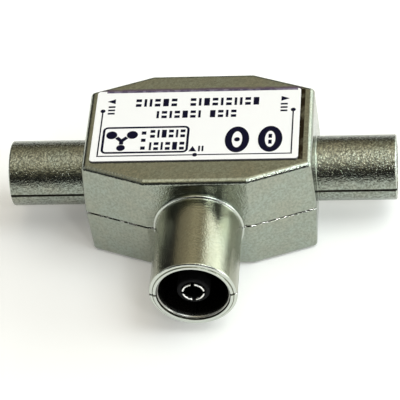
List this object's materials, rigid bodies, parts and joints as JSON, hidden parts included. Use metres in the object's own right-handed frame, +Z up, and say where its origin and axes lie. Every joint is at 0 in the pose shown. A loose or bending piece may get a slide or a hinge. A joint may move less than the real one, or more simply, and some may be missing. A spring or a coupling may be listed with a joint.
{
  "type": "coaxial splitter",
  "caption": "Two-way coaxial aerial splitter: plated cast clamshell with a socket in front and a plug at each end.",
  "frame": {"origin": "centre of the flat underside of the body", "axes": "+Z up, square to the flat faces; the socket points to -Y; the plugs point to -X and +X"},
  "size_m": [0.0566, 0.0364, 0.0173],
  "materials": {
    "plated_zinc": "satin",
    "label_film": "satin",
    "black_plastic": "satin",
    "plated_contact": "polished",
    "spring_bronze": "satin",
    "board_laminate": "satin",
    "ferrite": "matte",
    "enamelled_copper": "gloss",
    "capacitor_coating": "satin",
    "resistor_lacquer": "gloss"
  },
  "bodies": {
    "root": {"upper_housing": "plated_zinc", "lower_housing": "plated_zinc", "label": "label_film", "socket_insulator": "black_plastic", "socket_contact": "plated_contact", "socket_spring_sleeve": "spring_bronze", "left_plug_insulator": "black_plastic", "left_plug_pin": "plated_contact", "right_plug_insulator": "black_plastic", "right_plug_pin": "plated_contact", "circuit_board": "board_laminate", "splitter_core": "ferrite", "splitter_winding": "enamelled_copper", "matching_core": "ferrite", "matching_winding": "enamelled_copper", "isolation_resistor": "resistor_lacquer", "left_capacitor": "capacitor_coating", "right_capacitor": "capacitor_coating", "input_capacitor": "capacitor_coating", "balance_capacitor": "capacitor_coating", "ground_spring": "spring_bronze"}
  },
  "joints": []
}
